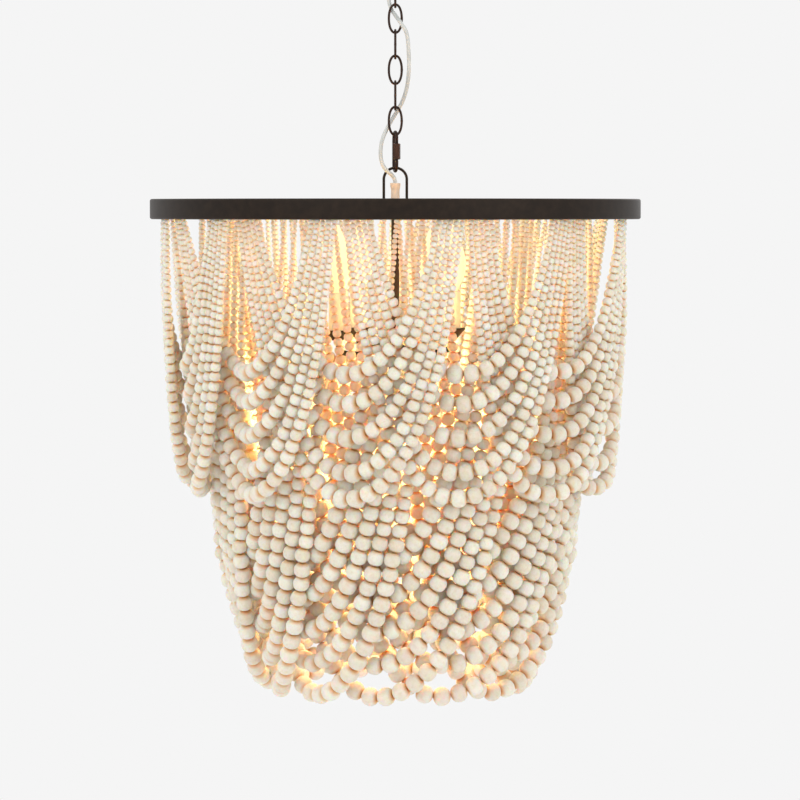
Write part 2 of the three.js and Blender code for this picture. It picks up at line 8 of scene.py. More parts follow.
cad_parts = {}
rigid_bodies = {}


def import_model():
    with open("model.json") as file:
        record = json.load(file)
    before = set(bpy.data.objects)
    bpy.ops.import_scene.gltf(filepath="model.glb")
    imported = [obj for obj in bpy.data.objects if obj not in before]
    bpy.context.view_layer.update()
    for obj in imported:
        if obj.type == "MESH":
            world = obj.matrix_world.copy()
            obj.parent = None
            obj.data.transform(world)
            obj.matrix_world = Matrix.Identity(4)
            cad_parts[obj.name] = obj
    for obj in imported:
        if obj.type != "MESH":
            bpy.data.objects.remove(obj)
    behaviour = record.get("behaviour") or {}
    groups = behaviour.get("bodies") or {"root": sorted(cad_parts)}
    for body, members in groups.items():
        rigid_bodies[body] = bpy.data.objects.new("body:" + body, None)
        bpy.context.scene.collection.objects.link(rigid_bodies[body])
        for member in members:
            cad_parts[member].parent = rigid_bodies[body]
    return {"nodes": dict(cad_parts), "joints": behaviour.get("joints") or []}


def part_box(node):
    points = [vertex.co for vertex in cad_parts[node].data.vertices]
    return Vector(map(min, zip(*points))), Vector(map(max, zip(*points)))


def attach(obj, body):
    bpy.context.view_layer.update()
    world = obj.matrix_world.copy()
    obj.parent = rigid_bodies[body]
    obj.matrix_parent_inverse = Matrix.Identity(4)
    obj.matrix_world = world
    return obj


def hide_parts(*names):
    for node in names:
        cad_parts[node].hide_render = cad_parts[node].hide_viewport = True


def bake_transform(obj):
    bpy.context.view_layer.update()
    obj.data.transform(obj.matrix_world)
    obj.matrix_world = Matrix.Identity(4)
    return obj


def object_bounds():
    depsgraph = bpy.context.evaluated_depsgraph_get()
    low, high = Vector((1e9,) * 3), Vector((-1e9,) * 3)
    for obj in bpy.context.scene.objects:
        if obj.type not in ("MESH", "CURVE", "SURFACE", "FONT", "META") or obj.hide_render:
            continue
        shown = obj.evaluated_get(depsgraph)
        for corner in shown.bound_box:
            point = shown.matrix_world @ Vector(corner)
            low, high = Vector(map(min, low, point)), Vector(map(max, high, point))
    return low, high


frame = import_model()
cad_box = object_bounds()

rng = np.random.default_rng(24)
scene = bpy.context.scene

# Boxes and heights that the frame gives
CANOPY_LOW, CANOPY_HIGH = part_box("ceiling_canopy")
STRAP_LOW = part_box("mounting_strap")[0]
BAND_LOW, BAND_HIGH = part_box("outer_ring")
RAIL_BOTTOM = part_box("inner_ring")[0].z
HUB_BOTTOM, HUB_TOP = (corner.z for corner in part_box("frame_arms"))
BAIL_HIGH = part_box("frame_bail")[1]
GRIP_BOTTOM, GRIP_TOP = (corner.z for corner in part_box("cord_grip"))

# Fits and sizes shared with the frame
GAP = 0.0003
BAND = {"radius": 0.305, "thickness": 0.005, "corner": 0.0026}
RAIL = {"width": 0.016, "thickness": 0.003, "edge": 0.0008}
CLIP = {"wall": 0.002, "lip": 0.0034, "bite": 0.0006}
ARMS = {"count": 4, "width": 0.012, "edge": 0.001, "hub": 0.026}
TAB_WIDTH = 0.01
CHAIN = {"links": 6, "wire": 0.003, "length": 0.038, "width": 0.019}
QUICK = {"wire": 0.004, "length": 0.0525, "width": 0.022, "turn": 12.0, "sleeve": 0.0046}
BAIL = {"wire": 0.0034, "width": 0.032}
LOOP = {"wire": 0.004, "outer": 0.028, "base_radius": 0.008, "base_height": 0.011}
NIPPLE = {"radius": 0.0049, "bore": 0.0035}
CORD_RADIUS = 0.0025
STEM = {"radius": 0.005, "bore": 0.0035}
LAMP = {"count": 4, "reach": 0.085, "first_angle": -57.0, "arm": 0.0035, "sag": 0.009}
CUP = {"radius": 0.017, "height": 0.012, "wall": 0.0016, "foot": 0.007}
BULB = {"radius": 0.0175, "length": 0.084, "cap": 0.006, "cap_length": 0.022}
CANDLE = {"radius": 0.011, "foot": 0.006}

# Bead strands, shortest first in each swag
SWAGS = 12
UPPER = {
    "name": "upper",
    "rail_radius": 0.286,
    "first_angle": -13.0,
    "half_spans": [23.6, 24.9, 26.2, 27.6, 28.9],
    "drops": [0.190, 0.225, 0.2655, 0.3075, 0.3375],
    "small": 0.0065,
    "large": 0.022,
    "growth": (1, 1.3),
    "at_rail": 0.0045,
    "below": 0.012,
    "reach": 9.0,
}
LOWER = {
    "name": "lower",
    "rail_radius": 0.237,
    "first_angle": -9.0,
    "half_spans": [36.0, 39.5, 43.0, 46.5, 50.0],
    "drops": [0.4245, 0.465, 0.5055, 0.546, 0.586],
    "small": 0.006,
    "large": 0.0232,
    "growth": (2, 1.7),
    "at_rail": 0.0045,
    "below": 0.022,
    "reach": 40.0,
}

# The supply cord's route beside the chain, up from the top of the band
CORD_ABOVE_BAND = [
    (0, 0, 0.0202),
    (-0.0008, -0.0004, 0.0245),
    (-0.0042, -0.0024, 0.0296),
    (-0.0095, -0.0056, 0.034),
    (-0.0146, -0.0076, 0.0405),
    (-0.0176, -0.0076, 0.049),
    (-0.0182, -0.005, 0.061),
    (-0.016, -0.0005, 0.074),
    (-0.0105, 0.0048, 0.087),
    (-0.004, 0.0074, 0.099),
    (0.0028, 0.008, 0.110),
    (0.0088, 0.0072, 0.121),
    (0.014, 0.0045, 0.137),
    (0.0168, 0.0005, 0.158),
    (0.0166, -0.0035, 0.182),
    (0.0138, -0.0064, 0.206),
    (0.0062, -0.0068, 0.219),
    (0, 0, 0.228),
    (-0.0055, 0.0068, 0.237),
    (-0.0085, 0.009, 0.251),
    (-0.0062, 0.008, 0.267),
    (-0.0024, 0.004, 0.2795),
    (-0.0003, 0.0005, 0.289),
]

# The photograph's framing
PHOTO_SIDE = 800
METRES_PER_PIXEL = 0.001246
AXIS_PIXEL = 395.3
BAND_TOP_PIXEL = 199.0
EYE_PIXEL = 209.0
CAMERA_DISTANCE = 5.0
SENSOR = 36.0


def camera():
    """At the band's height and tilted down a little, framed as the photograph is."""
    data = bpy.data.cameras.new("camera")
    data.sensor_width = SENSOR
    data.lens = SENSOR * CAMERA_DISTANCE / (PHOTO_SIDE * METRES_PER_PIXEL)
    data.shift_x = (PHOTO_SIDE / 2 - AXIS_PIXEL) / PHOTO_SIDE
    data.clip_start = CAMERA_DISTANCE / 10
    data.clip_end = CAMERA_DISTANCE * 10
    eye_z = BAND_HIGH.z - (EYE_PIXEL - BAND_TOP_PIXEL) * METRES_PER_PIXEL
    tilt = math.atan((PHOTO_SIDE / 2 - EYE_PIXEL) * METRES_PER_PIXEL / CAMERA_DISTANCE)
    obj = bpy.data.objects.new("camera", data)
    obj.location = (0, -CAMERA_DISTANCE, eye_z)
    obj.rotation_euler = (math.pi / 2 - tilt, 0, 0)
    scene.collection.objects.link(obj)
    scene.camera = obj


# Mesh helpers. A shell is a pair of its points and its faces.


def joined(shells):
    """Several shells as one."""
    points, faces, start = [], [], 0
    for shell_points, shell_faces in shells:
        points.append(np.asarray(shell_points, float))
        faces += [tuple(start + i for i in face) for face in shell_faces]
        start += len(shell_points)
    return np.concatenate(points), faces


def turned_points(points, angle):
    """Points turned about Z, by degrees."""
    c, s = math.cos(math.radians(angle)), math.sin(math.radians(angle))
    return points @ np.array([[c, s, 0], [-s, c, 0], [0, 0, 1]])


def turned(shell, angle, centre=(0, 0, 0)):
    """A shell moved to a centre and then turned about Z, by degrees."""
    return turned_points(np.asarray(shell[0]) + np.array(centre), angle), shell[1]


def around(radius, angle, z):
    """The point at an angle in radians round the axis, from the front towards +X."""
    return np.stack([radius * np.sin(angle), -radius * np.cos(angle), z + 0 * angle], -1)


def rounded(corners, steps=4):
    """A closed outline through corners of (across, up, fillet), each fillet an arc."""
    outline = []
    for i, (x, z, fillet) in enumerate(corners):
        here = np.array([x, z])
        if not fillet:
            outline.append(here)
            continue
        before = np.array(corners[i - 1][:2]) - here
        after = np.array(corners[(i + 1) % len(corners)][:2]) - here
        before, after = before / np.linalg.norm(before), after / np.linalg.norm(after)
        half = math.acos(float(np.clip(before @ after, -1, 1))) / 2
        middle = before + after
        centre = here + middle / np.linalg.norm(middle) * fillet / math.sin(half)
        start = here + before * fillet / math.tan(half) - centre
        end = here + after * fillet / math.tan(half) - centre
        for share in np.linspace(0, 1, steps + 1):
            arm = start * (1 - share) + end * share
            outline.append(centre + arm / np.linalg.norm(arm) * fillet)
    return outline


def lathe(outline, sides=64, closed=True):
    """A shell turned about Z. An open outline starts and ends on the axis."""
    angles = np.linspace(0, 2 * math.pi, sides, endpoint=False)
    points, rows = [], []
    for radius, z in outline:
        if not closed and radius == 0:
            rows.append([len(points)] * sides)
            points.append(np.array([0, 0, z]))
            continue
        rows.append(list(range(len(points), len(points) + sides)))
        points += list(around(radius, angles, z))
    pairs = list(zip(rows, rows[1:] + rows[:1] if closed else rows[1:]))
    faces = []
    for low, high in pairs:
        for j in range(sides):
            k = (j + 1) % sides
            corners = dict.fromkeys((low[j], low[k], high[k], high[j]))
            if len(corners) > 2:
                faces.append(tuple(corners))
    return np.array(points), faces


def frames_along(path, closed):
    """Two steady cross directions at each point of a path."""
    path = np.asarray(path, float)
    if closed:
        tangents = np.roll(path, -1, 0) - np.roll(path, 1, 0)
    else:
        tangents = np.gradient(path, axis=0)
    tangents /= np.linalg.norm(tangents, axis=1)[:, None]
    axis = np.eye(3)[np.argmin(np.abs(tangents).max(0))]
    across = np.empty_like(path)
    across[0] = axis - tangents[0] * (axis @ tangents[0])
    for i in range(1, len(path)):
        across[i] = across[i - 1] - tangents[i] * (across[i - 1] @ tangents[i])
        across[i] /= np.linalg.norm(across[i])
    across[0] /= np.linalg.norm(across[0])
    return across, np.cross(tangents, across)


def skin(count, sides, closed=False):
    """The faces between so many rings of points, and an end face at each end of an open row."""
    faces = []
    for i in range(count if closed else count - 1):
        here, there = i * sides, (i + 1) % count * sides
        for j in range(sides):
            k = (j + 1) % sides
            faces.append((here + j, here + k, there + k, there + j))
    if not closed:
        last = (count - 1) * sides
        faces += [tuple(reversed(range(sides))), tuple(range(last, last + sides))]
    return faces


def tube(path, radius, sides=16, closed=False):
    """A round tube along a path, with one radius or one for each point."""
    path = np.asarray(path, float)
    across, other = frames_along(path, closed)
    radii = np.broadcast_to(np.asarray(radius, float), len(path))
    angles = np.linspace(0, 2 * math.pi, sides, endpoint=False)
    ring = np.cos(angles)[:, None] * across[:, None] + np.sin(angles)[:, None] * other[:, None]
    points = (path[:, None] + radii[:, None, None] * ring).reshape(-1, 3)
    return points, skin(len(path), sides, closed)


def bar(width, depth, bottom, top, edge, steps=3):
    """A block with rounded edges, standing on its centre line, built as a stack of outlines."""
    rows = []
    for a in np.linspace(0, math.pi / 2, steps + 1):
        rows.append((bottom + edge * (1 - math.cos(a)), edge * (1 - math.sin(a))))
    for a in np.linspace(math.pi / 2, 0, steps + 1):
        rows.append((top - edge * (1 - math.cos(a)), edge * (1 - math.sin(a))))
    points = []
    for z, drawn in rows:
        w, d = width / 2 - drawn, depth / 2 - drawn
        outline = rounded([(-w, -d, edge), (w, -d, edge), (w, d, edge), (-w, d, edge)], steps)
        points += [(x, y, z) for x, y in outline]
    return np.array(points), skin(len(rows), len(outline))


def smooth_line(points, steps):
    """The centripetal curve through points, with so many steps between each two."""
    p = np.asarray(points, float)
    p = np.concatenate([[2 * p[0] - p[1]], p, [2 * p[-1] - p[-2]]])
    line = []
    for a, b, c, d in zip(p, p[1:], p[2:], p[3:]):
        t0, t1, t2 = (math.sqrt(np.linalg.norm(v)) for v in (b - a, c - b, d - c))
        m1 = ((b - a) / t0 - (c - a) / (t0 + t1) + (c - b) / t1) * t1
        m2 = ((c - b) / t1 - (d - b) / (t1 + t2) + (d - c) / t2) * t1
        for t in np.linspace(0, 1, steps, endpoint=False):
            line.append(
                b + m1 * t + (3 * (c - b) - 2 * m1 - m2) * t**2 + (2 * (b - c) + m1 + m2) * t**3
            )
    return np.array(line + [p[-2]])


SMOOTH_ANGLE = 35


def make(name, shells, materials):
    """A mesh object from shells, one material for all of them or one for each."""
    points, faces = joined(shells)
    mesh = bpy.data.meshes.new(name)
    mesh.from_pydata(points.tolist(), [], faces)
    for material in materials:
        mesh.materials.append(material)
    if len(materials) > 1:
        index = [number for number, shell in enumerate(shells) for _ in shell[1]]
        mesh.polygons.foreach_set("material_index", index)
    mesh.polygons.foreach_set("use_smooth", [True] * len(faces))
    mesh.set_sharp_from_angle(angle=math.radians(SMOOTH_ANGLE))
    obj = bpy.data.objects.new(name, mesh)
    scene.collection.objects.link(obj)
    return obj


def piece(name, shells, materials, body, stands_for=()):
    """A piece that rides on a body, in place of the nodes that it stands for."""
    obj = make(name, shells, materials)
    if stands_for:
        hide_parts(*stands_for)
    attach(obj, body)
    return obj


# Materials


def srgb(red, green, blue):
    """A colour as it is seen, from 0 to 255, as the shader takes it."""
    shares = [v / 255 for v in (red, green, blue)]
    return tuple(v / 12.92 if v <= 0.04045 else ((v + 0.055) / 1.055) ** 2.4 for v in shares) + (1,)


def look(name, roughness, metallic=0.0, **sockets):
    """A material with its shader and the constants on the shader's own sockets."""
    material = bpy.data.materials.new(name)
    material.use_nodes = True
    shader = material.node_tree.nodes["Principled BSDF"]
    shader.inputs["Roughness"].default_value = roughness
    shader.inputs["Metallic"].default_value = metallic
    for socket, value in sockets.items():
        shader.inputs[socket.replace("_", " ")].default_value = value
    return material, material.node_tree, shader


def add(tree, kind, inputs=None, **settings):
    """A node with its settings, and its inputs given as values or as sockets to link."""
    node = tree.nodes.new(kind)
    for key, value in settings.items():
        setattr(node, key, value)
    for key, value in (inputs or {}).items():
        if isinstance(value, bpy.types.NodeSocket):
            tree.links.new(value, node.inputs[key])
        else:
            node.inputs[key].default_value = value
    return node


def place(tree):
    """The object's own coordinates."""
    return add(tree, "ShaderNodeTexCoord").outputs["Object"]


def noise(tree, vector, scale, detail=4.0, roughness=0.55):
    inputs = {"Vector": vector, "Scale": scale, "Detail": detail, "Roughness": roughness}
    return add(tree, "ShaderNodeTexNoise", inputs).outputs["Fac"]


def ramp(tree, factor, stops):
    """Colours at places from 0 to 1."""
    node = add(tree, "ShaderNodeValToRGB", {"Fac": factor})
    elements = node.color_ramp.elements
    while len(elements) < len(stops):
        elements.new(1.0)
    for element, (position, colour) in zip(elements, stops):
        element.position = position
        element.color = colour
    return node.outputs["Color"]


def bump(tree, shader, height, strength, distance):
    inputs = {"Height": height, "Strength": strength, "Distance": distance}
    node = add(tree, "ShaderNodeBump", inputs)
    tree.links.new(node.outputs["Normal"], shader.inputs["Normal"])


def two_tone(tree, shader, scale, dark, light, first=0.3, detail=4.0):
    """A base colour that drifts between two tones."""
    drift = noise(tree, place(tree), scale, detail)
    tones = ramp(tree, drift, [(first, dark), (1 - first, light)])
    tree.links.new(tones, shader.inputs["Base Color"])


def metal(name, dark, light, worn, roughness, metallic):
    """A finish over metal: mottled, with worn edges where the surface is sharp."""
    material, tree, shader = look(name, roughness, metallic)
    shader.inputs["Specular IOR Level"].default_value = 0.2
    where = place(tree)
    mottle = ramp(tree, noise(tree, where, 90.0), [(0.35, dark), (0.68, light)])
    edge = add(tree, "ShaderNodeNewGeometry").outputs["Pointiness"]
    sharp = ramp(tree, edge, [(0.51, (0, 0, 0, 1)), (0.58, (1, 1, 1, 1))])
    scuffs = noise(tree, where, 420.0, 6.0)
    wear = add(tree, "ShaderNodeMath", {0: sharp, 1: scuffs}, operation="MULTIPLY").outputs[0]
    inputs = {0: wear, 6: mottle, 7: worn}
    mixed = add(tree, "ShaderNodeMix", inputs, data_type="RGBA").outputs[2]
    tree.links.new(mixed, shader.inputs["Base Color"])
    bump(tree, shader, noise(tree, where, 900.0, 3.0), 0.12, 0.0004)
    return material


def bead_wood():
    """Whitewashed wood: pale, with faint grain and a tone for each bead. The ends by its hole carry
    a painted warm glow, where the lamps' light would show between beads.
    """
    material, tree, shader = look("whitewashed_wood", 0.62)
    shader.inputs["Specular IOR Level"].default_value = 0.3
    shader.inputs["Subsurface Weight"].default_value = 1.0
    shader.inputs["Subsurface Radius"].default_value = (1.0, 0.6, 0.3)
    shader.inputs["Subsurface Scale"].default_value = 0.018
    grain = add(tree, "ShaderNodeAttribute", attribute_name="grain").outputs["Vector"]
    tone = add(tree, "ShaderNodeAttribute", attribute_name="tone").outputs["Fac"]
    end = add(tree, "ShaderNodeAttribute", attribute_name="end").outputs["Fac"]
    along = add(tree, "ShaderNodeMapping", {"Vector": grain, "Scale": (3.2, 3.2, 0.6)}).outputs[0]
    fibres = noise(tree, along, 2.4, 5.0, 0.62)
    wash = noise(tree, grain, 0.9, 2.0)
    whitened = ramp(
        tree,
        fibres,
        [(0.30, srgb(218, 209, 194)), (0.45, srgb(229, 226, 217)), (0.7, srgb(233, 232, 226))],
    )
    thin = ramp(tree, wash, [(0.42, srgb(255, 255, 255)), (0.72, srgb(249, 245, 238))])
    each = ramp(tree, tone, [(0.0, srgb(240, 236, 230)), (1.0, srgb(255, 255, 254))])
    # Painted light: warm orange towards the ends by the hole stands in for the lamps' glow in the
    # creases between beads
    painted_crease_glow = ramp(tree, end, [(0.66, srgb(255, 255, 255)), (0.98, srgb(255, 206, 148))])
    colour = whitened
    for layer in (thin, each, painted_crease_glow):
        inputs = {0: 1.0, 6: colour, 7: layer}
        mix = add(tree, "ShaderNodeMix", inputs, data_type="RGBA", blend_type="MULTIPLY")
        colour = mix.outputs[2]
    tree.links.new(colour, shader.inputs["Base Color"])
    bump(tree, shader, fibres, 0.25, 0.0006)
    return material


def cord_plastic():
    """The cord's sleeve: pale grey, a little milky, and shiny."""
    material, tree, shader = look("cord_sleeve", 0.28)
    two_tone(tree, shader, 45.0, srgb(190, 193, 190), srgb(216, 218, 214), 0.35, 2.0)
    return material


def moulded(name, dark, light, roughness):
    """Plain plastic, wax or thread with a slight unevenness."""
    material, tree, shader = look(name, roughness)
    two_tone(tree, shader, 60.0, dark, light)
    bump(tree, shader, noise(tree, place(tree), 500.0), 0.1, 0.0003)
    return material


GLASS_COLOUR = (1.0, 0.72, 0.4, 1)
GLASS_STRENGTH = 0.7


def lamp_glass():
    """Frosted glass of a lit lamp."""
    material, tree, shader = look("lit_glass", 0.35)
    two_tone(tree, shader, 80.0, srgb(244, 212, 164), srgb(246, 222, 182))
    shader.inputs["Emission Color"].default_value = GLASS_COLOUR
    shader.inputs["Emission Strength"].default_value = GLASS_STRENGTH
    return material


DARK_BRONZE = metal("dark_bronze", srgb(33, 25, 19), srgb(42, 32, 24), srgb(80, 66, 54), 0.5, 0.3)
BLACKENED = metal("blackened", srgb(30, 25, 22), srgb(40, 33, 28), srgb(70, 58, 48), 0.55, 0.3)
CHAIN_BRONZE = metal("chain_bronze", srgb(44, 34, 30), srgb(56, 43, 36), srgb(88, 58, 45), 0.42, 0.6)
STEEL = metal("zinc_steel", srgb(150, 150, 148), srgb(178, 178, 174), srgb(205, 205, 200), 0.38, 0.9)
BRASS = metal("lamp_cap", srgb(150, 118, 66), srgb(182, 148, 92), srgb(210, 180, 124), 0.35, 0.9)
BEAD_WOOD = bead_wood()
THREAD = moulded("thread", srgb(206, 192, 168), srgb(226, 214, 194), 0.8)
CORD_SLEEVE = cord_plastic()
GRIP_PLASTIC = moulded("grip", srgb(226, 196, 168), srgb(238, 216, 192), 0.4)
CANDLE_WAX = moulded("candle_card", srgb(236, 224, 196), srgb(246, 238, 216), 0.5)
LIT_GLASS = lamp_glass()


# Supply cord


def cord_bodies():
    """The bodies down the chain, and the heights at which the cord passes from joint to joint."""
    joints = {joint["child"]: joint for joint in frame["joints"] if joint["type"] == "hinge"}
    names = ["ceiling_set"]
    while True:
        below = [c for c, joint in joints.items() if joint["parent"] == names[-1]]
        if not below:
            break
        names += below
    pivots = [joints[name]["pos_m"][2] for name in names[1:]]
    return names, [(a + b) / 2 for a, b in zip(pivots, pivots[1:])]


def supply_cord():
    """The cord, in stretches cut at the heights between the chain's joints."""
    route = [(x, y, z + BAND_HIGH.z) for x, y, z in CORD_ABOVE_BAND]
    loop_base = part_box("canopy_loop")[1].z
    route.append((0, 0, loop_base - LOOP["base_height"] / 2))
    route.append((0, 0, (loop_base + STRAP_LOW.z) / 2))
    route.append((0, 0, STRAP_LOW.z))
    line = smooth_line(route, 8)
    bodies, changes = cord_bodies()
    cuts = [int(np.argmin(np.abs(line[:, 2] - z))) for z in reversed(changes)]
    cuts = [0, *cuts, len(line) - 1]
    points, _ = tube(line, CORD_RADIUS, sides=16)
    rings = points.reshape(len(line), -1, 3)
    for i, (first, last) in enumerate(zip(cuts, cuts[1:])):
        stretch = rings[first : last + 1]
        shell = (stretch.reshape(-1, 3), skin(len(stretch), stretch.shape[1]))
        part = make(f"cord_stretch_{i + 1}", [shell], [CORD_SLEEVE])
        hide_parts("supply_cord")
        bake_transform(part)


# Ceiling set


def ceiling_set():
    body = "ceiling_set"
    rim, depth, crown, wall = CANOPY_HIGH.x, CANOPY_LOW.z, 0.017, 0.0016
    hole = NIPPLE["radius"] + 0.0015
    dome = [(rim, 0, 0.0005), (rim, depth, crown), (hole, depth, 0.0004)]
    inside = [(hole, depth + wall, 0.0004), (rim - wall, depth + wall, crown - wall)]
    outline = rounded([*dome, *inside, (rim - wall, 0, 0.0005)], 10)
    piece("canopy", [lathe(outline, 128)], [DARK_BRONZE], body, ["ceiling_canopy"])

    low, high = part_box("canopy_collar")
    edge = 0.0014
    bore = NIPPLE["radius"] + GAP
    collar = [(bore, low.z, 0), (high.x, low.z, edge), (high.x, high.z, edge), (bore, high.z, 0)]
    piece(
        "collar", [lathe(rounded(collar), 96)], [DARK_BRONZE], body, ["canopy_collar"]
    )

    low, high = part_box("threaded_nipple")
    pitch, depth_of_thread = 0.0012, 0.0004
    ridges = int((high.z - low.z) / pitch)
    outside = [
        (NIPPLE["radius"] - depth_of_thread * (k % 2), low.z + (high.z - low.z) * k / (2 * ridges))
        for k in range(2 * ridges + 1)
    ]
    thread = [(NIPPLE["bore"], low.z), *outside, (NIPPLE["bore"], high.z)]
    piece("nipple", [lathe(thread, 32)], [STEEL], body, ["threaded_nipple"])
    nut_piece("nipple_nut", "lock_nut", NIPPLE["radius"] + GAP, body)
    strap = frame["nodes"]["mounting_strap"]
    strap.data.materials.clear()
    strap.data.materials.append(STEEL)

    wire, outer = LOOP["wire"], LOOP["outer"]
    low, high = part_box("canopy_loop")
    ring = oval_path(outer, outer, wire, low.z + outer)
    r, base_low = LOOP["base_radius"], high.z - LOOP["base_height"]
    base = [
        (NIPPLE["bore"], base_low, 0),
        (r * 0.72, base_low, 0.001),
        (r, base_low + 0.004, 0.0015),
        (r, high.z - 0.001, 0.0006),
        (r - 0.001, high.z, 0.0002),
        (NIPPLE["bore"], high.z, 0),
    ]
    shells = [tube(ring, wire / 2, 20, True), lathe(rounded(base), 48)]
    piece("hanging_loop", shells, [CHAIN_BRONZE], body, ["canopy_loop"])


def nut(bore, corner, low, high, chamfer):
    """A hexagonal nut between two heights, with its corners turned off."""
    face = corner - 2 * chamfer
    outline = [(bore, low), (face, low), (corner, low + chamfer)]
    outline += [(corner, high - chamfer), (face, high), (bore, high)]
    return lathe(outline, 6)


def nut_piece(name, node, bore, body):
    low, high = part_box(node)
    shell = nut(bore, high.y, low.z, high.z, 0.0008)
    piece(name, [shell], [STEEL], body, [node])


# Chain


def oval_path(length, width, wire, top, steps=20):
    """The middle line of an oval link in the XZ plane, hung with its top at a height."""
    radius = (width - wire) / 2
    turn = np.linspace(0, math.pi, steps + 1)
    ends = [(top - width / 2, turn), (top - length + width / 2, turn + math.pi)]
    rows = [
        np.stack([radius * np.cos(t), 0 * t, middle + radius * np.sin(t)], 1) for middle, t in ends
    ]
    if length == width:
        rows = [rows[0][:-1], rows[1][:-1]]
    return np.concatenate(rows)


def link_path(length, width, wire, top, fullness=0.94, steps=64):
    """The middle line of a chain link in the XZ plane: an oval, a little full at its corners."""
    turn = np.linspace(0, 2 * math.pi, steps, endpoint=False)
    across, up = np.cos(turn), np.sin(turn)
    x = (width - wire) / 2 * np.sign(across) * np.abs(across) ** fullness
    z = (length - wire) / 2 * np.sign(up) * np.abs(up) ** fullness
    return np.stack([x, 0 * turn, top - length / 2 + z], 1)


def filled_path(path, step):
    """A closed path with its long spans divided."""
    filled = []
    for a, b in zip(path, np.roll(path, -1, 0)):
        count = max(1, round(np.linalg.norm(b - a) / step))
        filled += [a + (b - a) * k / count for k in range(count)]
    return np.array(filled)


def chain_link(number):
    low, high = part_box(f"chain_link_{number}")
    face_on = high.x - low.x > high.y - low.y
    wire = CHAIN["wire"]
    path = link_path(CHAIN["length"], CHAIN["width"], wire, high.z)
    path = filled_path(path, wire / 4)
    seam = np.array([(CHAIN["width"] - wire) / 2, 0, (low.z + high.z) / 2])
    near = np.linalg.norm(path - seam, axis=1) / wire
    radii = wire / 2 * (1 + 0.1 * np.exp(-((near / 0.5) ** 2)))
    shell = turned(tube(path, radii, 16, True), 0 if face_on else 90)
    name = f"link_{number}"
    piece(name, [shell], [CHAIN_BRONZE], name, [f"chain_link_{number}"])


def quick_link():
    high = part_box("quick_link")[1]
    wire = QUICK["wire"]
    path = filled_path(oval_path(QUICK["length"], QUICK["width"], wire, high.z), wire / 10)
    sleeve_low, sleeve_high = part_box("quick_link_sleeve")
    leg = -(QUICK["width"] - wire) / 2
    margin = 0.002
    threaded = (
        (path[:, 0] < leg * 0.98)
        & (path[:, 2] > sleeve_low.z - margin)
        & (path[:, 2] < sleeve_high.z + margin * 3)
    )
    pitch, depth = 0.0007, 0.00018
    thread = wire / 2 - depth * (1 + np.cos(path[:, 2] / pitch * 2 * math.pi))
    radii = np.where(threaded, thread, wire / 2)
    turn = 90 + QUICK["turn"]
    shell = turned(tube(path, radii, 20, True), turn)
    piece("quick_link_body", [shell], [CHAIN_BRONZE], "quick_link", ["quick_link"])
    sleeve = nut(wire / 2 + GAP, QUICK["sleeve"], sleeve_low.z, sleeve_high.z, 0.0007)
    shell = turned(sleeve, turn, (leg, 0, 0))
    piece("sleeve_nut", [shell], [CHAIN_BRONZE], "sleeve", ["quick_link_sleeve"])


# Frame


